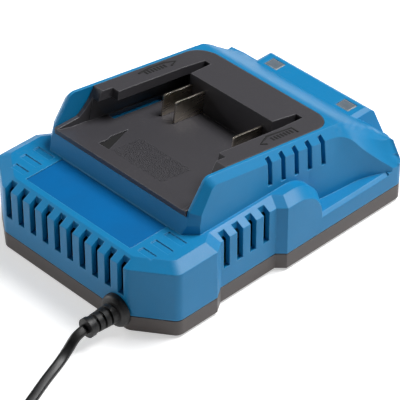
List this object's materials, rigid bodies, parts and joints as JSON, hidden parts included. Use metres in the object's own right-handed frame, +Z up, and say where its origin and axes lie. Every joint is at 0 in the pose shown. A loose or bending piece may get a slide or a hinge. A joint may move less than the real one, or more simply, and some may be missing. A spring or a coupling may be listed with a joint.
{
  "type": "power tool battery charger",
  "caption": "Low bench charger for slide-on tool batteries: a vented case with a sloping rail cradle and contact blades, two status lamps and a flat mains lead with a two-pin plug.",
  "frame": {"origin": "middle of the footprint of the case, on the surface it stands on", "axes": "+X to the right seen from the battery mouth, +Y from the mouth to the status lamps at the rear, +Z up"},
  "size_m": [0.116, 0.3114, 0.0591],
  "materials": {
    "housing_blue": "fine moulded texture",
    "base_taupe": "fine moulded texture",
    "insert_charcoal": "fine moulded texture",
    "label_blue": "smooth gloss",
    "lamp_clear": "clear light guide",
    "contact_nickel": "bright nickel plate",
    "holder_black": "moulded",
    "board_green": "solder mask",
    "glass_fuse": "clear tube",
    "capacitor_yellow": "moulded box",
    "choke_green": "coated core",
    "chip_black": "moulded",
    "capacitor_sleeve": "shrunk sleeve",
    "ferrite": "ground ferrite",
    "bobbin_plastic": "moulded",
    "winding_tape": "yellow tape",
    "heatsink_aluminium": "extruded",
    "disc_blue": "dipped",
    "wire_insulation": "insulation",
    "ribbon_grey": "insulation",
    "screw_steel": "zinc plate",
    "foot_rubber": "soft",
    "cord_black": "flexible sheath",
    "led_body": "clear lens",
    "tie_black": "moulded strip",
    "plug_black": "moulded",
    "pin_nickel": "nickel plate"
  },
  "bodies": {
    "root": {"upper_housing": "housing_blue", "base_tray": "base_taupe", "cradle_insert": "insert_charcoal", "label_plate": "label_blue", "led_window_left": "lamp_clear", "led_window_right": "lamp_clear", "terminal_blade_positive": "contact_nickel", "terminal_blade_sense": "contact_nickel", "terminal_blade_negative": "contact_nickel", "terminal_holder": "holder_black", "main_board": "board_green", "mains_fuse": "glass_fuse", "x2_capacitor": "capacitor_yellow", "common_mode_choke": "choke_green", "bridge_rectifier": "chip_black", "bulk_capacitor": "capacitor_sleeve", "transformer_core": "ferrite", "transformer_bobbin": "bobbin_plastic", "transformer_winding": "winding_tape", "primary_heatsink": "heatsink_aluminium", "power_transistor": "chip_black", "output_heatsink": "heatsink_aluminium", "output_diode": "chip_black", "output_capacitors": "capacitor_sleeve", "y_capacitor": "disc_blue", "optocoupler": "chip_black", "control_chips": "chip_black", "shunt_resistors": "chip_black", "led_board": "board_green", "status_leds": "led_body", "led_ribbon": "ribbon_grey", "output_wires": "wire_insulation", "mains_wires": "wire_insulation", "case_screws": "screw_steel", "board_screws": "screw_steel", "insert_screws": "screw_steel", "holder_screws": "screw_steel", "led_board_screws": "screw_steel", "rubber_feet": "foot_rubber", "strain_relief": "cord_black", "mains_lead": "cord_black", "cord_coil": "cord_black", "coil_tie": "tie_black", "lead_end": "cord_black", "plug_body": "plug_black", "plug_pins": "pin_nickel", "pin_sleeves": "plug_black"}
  },
  "joints": []
}
